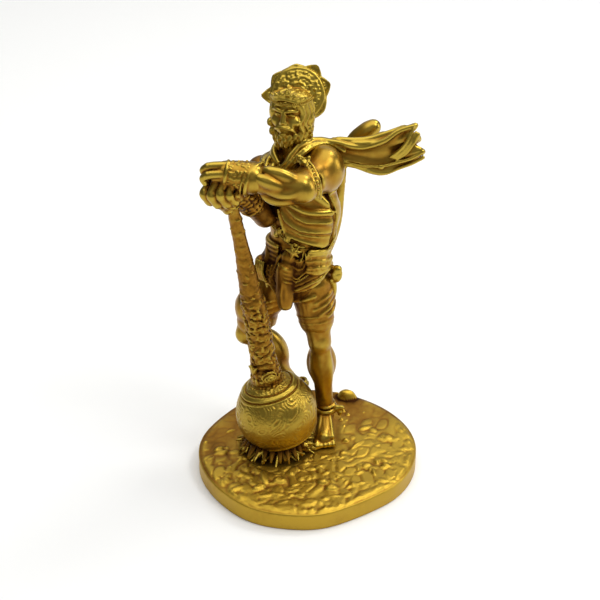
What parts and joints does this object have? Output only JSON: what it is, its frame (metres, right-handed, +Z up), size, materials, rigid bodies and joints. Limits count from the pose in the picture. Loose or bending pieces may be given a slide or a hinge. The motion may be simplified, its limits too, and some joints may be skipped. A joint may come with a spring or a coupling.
{
  "type": "hanuman figure with mace",
  "caption": "Golden Hanuman figure leaning with crossed hands on his upright mace, scarf flying to one side, on a low round plinth of stones and leaves.",
  "frame": {"origin": "centre of the plinth's flat underside", "axes": "+Z up, +X towards the figure's left hand side, which is the viewer's right, -Y towards the viewer in front"},
  "size_m": [0.1088, 0.1095, 0.1988],
  "materials": {
    "plinth": "metallic gold paint on cast resin, satin",
    "mace": "metallic gold paint on cast resin, satin",
    "figure": "metallic gold paint on cast resin, satin"
  },
  "bodies": {
    "root": {"plinth": "plinth", "mace": "mace", "figure": "figure"}
  },
  "joints": []
}
